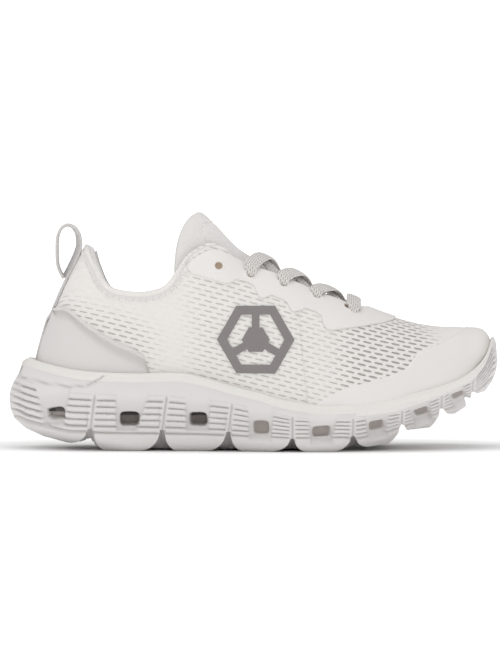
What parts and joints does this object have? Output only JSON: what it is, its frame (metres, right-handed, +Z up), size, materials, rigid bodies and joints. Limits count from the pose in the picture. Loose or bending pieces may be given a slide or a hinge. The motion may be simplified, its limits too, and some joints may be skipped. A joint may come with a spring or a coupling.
{
  "type": "running shoe",
  "caption": "Low right-foot running shoe with a knit mesh upper, thin moulded overlays, flat laces, heel pull loop and a thick foam sole split into nine deep pods.",
  "frame": {"origin": "on the floor, under the middle of the shoe's outer box", "axes": "+X towards the toe, +Z up, +Y towards the inner (medial) side of a right shoe"},
  "size_m": [0.276, 0.098, 0.1336],
  "materials": {
    "foam": "matte foam",
    "tread": "matte",
    "plate": "satin",
    "board": "matte",
    "insole": "matte",
    "mesh": "engineered knit",
    "overlay": "satin film",
    "strap": "woven webbing",
    "lining": "soft knit",
    "padding": "padded knit",
    "lace": "braided",
    "badge": "matte film"
  },
  "bodies": {
    "rearfoot": {"midsole_rear": "foam", "tread_pad_1": "tread", "tread_pad_2": "tread", "tread_pad_3": "tread", "tread_pad_4": "tread", "tread_pad_5": "tread", "shank_plate": "plate", "lasting_board": "board", "insole": "insole", "quarter_lateral": "mesh", "quarter_medial": "mesh", "eyestay_lateral": "overlay", "eyestay_medial": "overlay", "heel_overlay": "overlay", "heel_counter": "board", "collar_padding": "lining", "collar_lining": "lining", "heel_strip": "strap", "loop_stem": "strap", "tongue": "padding", "lace": "lace", "side_badge": "badge"},
    "forefoot": {"midsole_front": "foam", "tread_pad_6": "tread", "tread_pad_7": "tread", "tread_pad_8": "tread", "vamp": "mesh", "toe_box": "mesh", "toe_puff": "board", "toe_overlay": "overlay"},
    "loop": {"pull_loop": "strap"},
    "tongue_end": {"tongue_tip": "padding"}
  },
  "joints": [
    {"name": "forefoot_flex", "type": "hinge", "parent": "rearfoot", "child": "forefoot", "pos_m": [0.058, 0, 0.0295], "axis": [0, -1, 0], "range_deg": [0, 30], "stiffness_Nm_per_rad": 3, "deforming": ["vamp", "toe_overlay", "lasting_board", "insole"]},
    {"name": "pull_loop_swing", "type": "hinge", "parent": "rearfoot", "child": "loop", "pos_m": [-0.1047, 0, 0.1136], "axis": [0, 1, 0], "range_deg": [-25, 10], "stiffness_Nm_per_rad": 0.01, "deforming": ["loop_stem"]},
    {"name": "tongue_tip_fold", "type": "hinge", "parent": "rearfoot", "child": "tongue_end", "pos_m": [-0.018, 0, 0.1188], "axis": [0, 1, 0], "range_deg": [0, 25], "stiffness_Nm_per_rad": 0.05}
  ]
}
